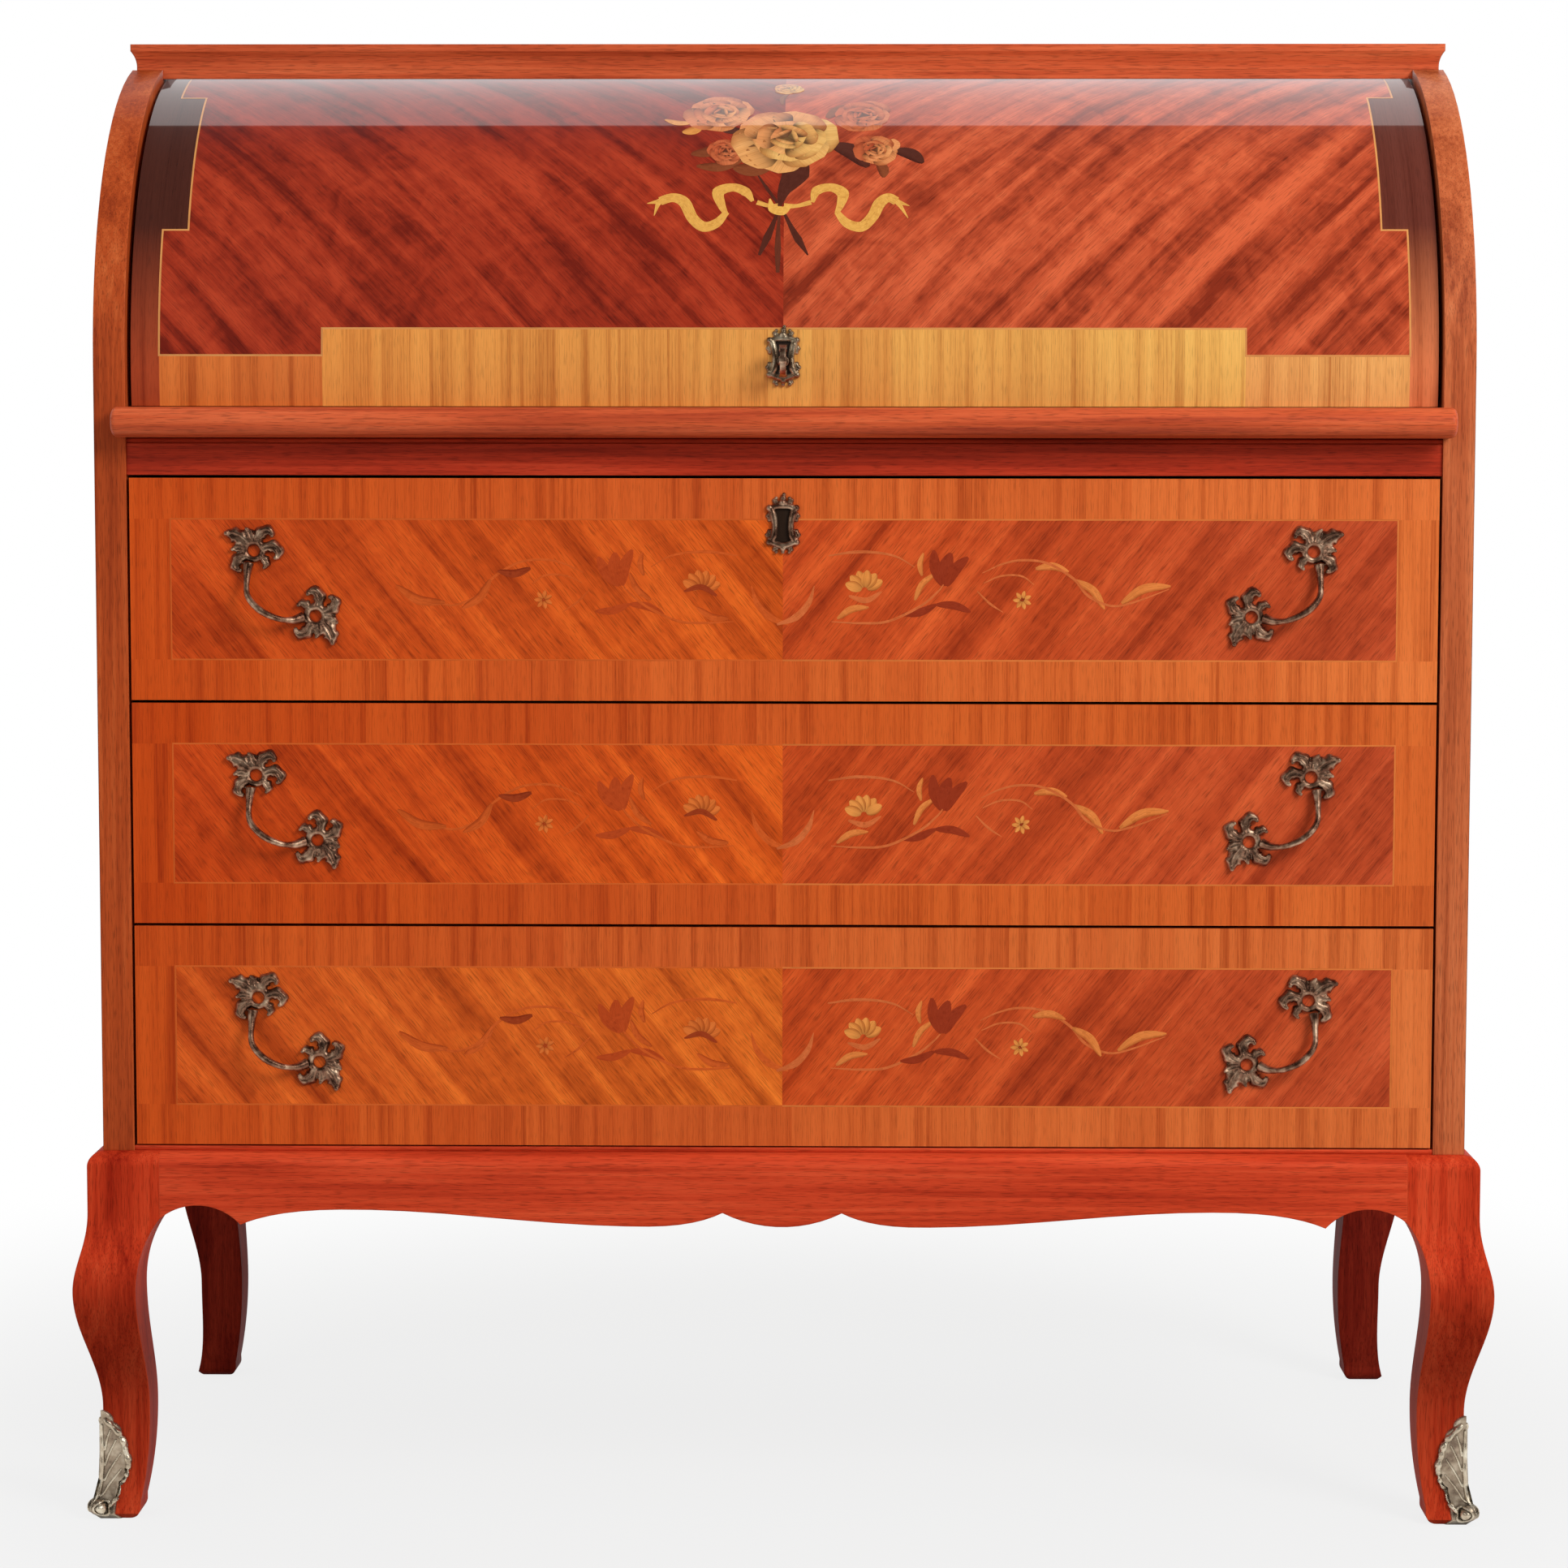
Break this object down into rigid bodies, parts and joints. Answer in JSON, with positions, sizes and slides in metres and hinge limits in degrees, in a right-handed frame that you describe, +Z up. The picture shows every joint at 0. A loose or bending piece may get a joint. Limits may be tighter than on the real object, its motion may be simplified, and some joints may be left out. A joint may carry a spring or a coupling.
{
  "type": "cylinder desk",
  "caption": "Writing desk with a roll-back cylinder front, a pull-out writing slide, long drawers with leafy handles and cabriole legs with bronze sabots.",
  "frame": {"origin": "middle of the plan on the floor, under the feet", "axes": "+Z up, +X to the sitter's right, +Y to the back; the front with the drawers faces -Y"},
  "size_m": [0.999, 0.4946, 1.055],
  "materials": {
    "marquetry": "polished",
    "mahogany": "polished",
    "side_veneer": "polished",
    "oak": "satin",
    "bronze": "aged",
    "iron": "satin"
  },
  "bodies": {
    "carcase": {"back_panel": "oak", "back_rail": "oak", "bottom_board": "oak", "cornice_front": "mahogany", "cornice_left": "mahogany", "cornice_right": "mahogany", "desk_deck": "mahogany", "drawer_runners": "oak", "front_apron": "mahogany", "front_batten": "oak", "glue_blocks": "oak", "leg_back_left": "mahogany", "leg_back_right": "mahogany", "leg_front_left": "mahogany", "leg_front_right": "mahogany", "pigeonhole_shelves": "mahogany", "pigeonhole_top": "mahogany", "pigeonhole_uprights": "mahogany", "pivot_pins": "iron", "sabot_left": "bronze", "sabot_right": "bronze", "side_apron_left": "mahogany", "side_apron_right": "mahogany", "side_panel_left": "side_veneer", "side_panel_right": "side_veneer", "slide_rail": "mahogany", "slide_runners": "oak", "top_board": "mahogany", "top_front_rail": "mahogany"},
    "cylinder": {"cylinder_shell": "marquetry", "cylinder_cheek_left": "mahogany", "cylinder_cheek_right": "mahogany", "cylinder_escutcheon": "bronze", "cylinder_lock": "iron"},
    "key": {"key": "bronze"},
    "writing_slide": {"writing_board": "mahogany", "slide_nosing": "mahogany"},
    "small_drawer_left": {"small_drawer_left_front": "marquetry", "small_drawer_left_tray": "oak", "small_knob_left": "bronze"},
    "small_drawer_right": {"small_drawer_right_front": "marquetry", "small_drawer_right_tray": "oak", "small_knob_right": "bronze"},
    "drawer_1": {"drawer_1_front": "marquetry", "drawer_1_sides": "oak", "drawer_1_back": "oak", "drawer_1_bottom": "oak", "drawer_1_handles": "bronze", "drawer_escutcheon": "bronze", "drawer_lock": "iron"},
    "drawer_2": {"drawer_2_front": "marquetry", "drawer_2_sides": "oak", "drawer_2_back": "oak", "drawer_2_bottom": "oak", "drawer_2_handles": "bronze"},
    "drawer_3": {"drawer_3_front": "marquetry", "drawer_3_sides": "oak", "drawer_3_back": "oak", "drawer_3_bottom": "oak", "drawer_3_handles": "bronze"}
  },
  "joints": [
    {"name": "cylinder_roll", "type": "hinge", "parent": "carcase", "child": "cylinder", "pos_m": [0, 0.01073, 0.816], "axis": [-1, 0, 0], "range_deg": [0, 64]},
    {"name": "key_turn", "type": "hinge", "parent": "cylinder", "child": "key", "pos_m": [0, -0.22075, 0.819], "axis": [0, 1, 0], "range_deg": [0, 90]},
    {"name": "writing_slide_pull", "type": "slide", "parent": "carcase", "child": "writing_slide", "axis": [0, -1, 0], "range_m": [0, 0.2]},
    {"name": "drawer_1_pull", "type": "slide", "parent": "carcase", "child": "drawer_1", "axis": [0, -1, 0], "range_m": [0, 0.3]},
    {"name": "drawer_2_pull", "type": "slide", "parent": "carcase", "child": "drawer_2", "axis": [0, -1, 0], "range_m": [0, 0.3]},
    {"name": "drawer_3_pull", "type": "slide", "parent": "carcase", "child": "drawer_3", "axis": [0, -1, 0], "range_m": [0, 0.3]},
    {"name": "small_drawer_left_pull", "type": "slide", "parent": "carcase", "child": "small_drawer_left", "axis": [0, -1, 0], "range_m": [0, 0.12]},
    {"name": "small_drawer_right_pull", "type": "slide", "parent": "carcase", "child": "small_drawer_right", "axis": [0, -1, 0], "range_m": [0, 0.12]}
  ]
}
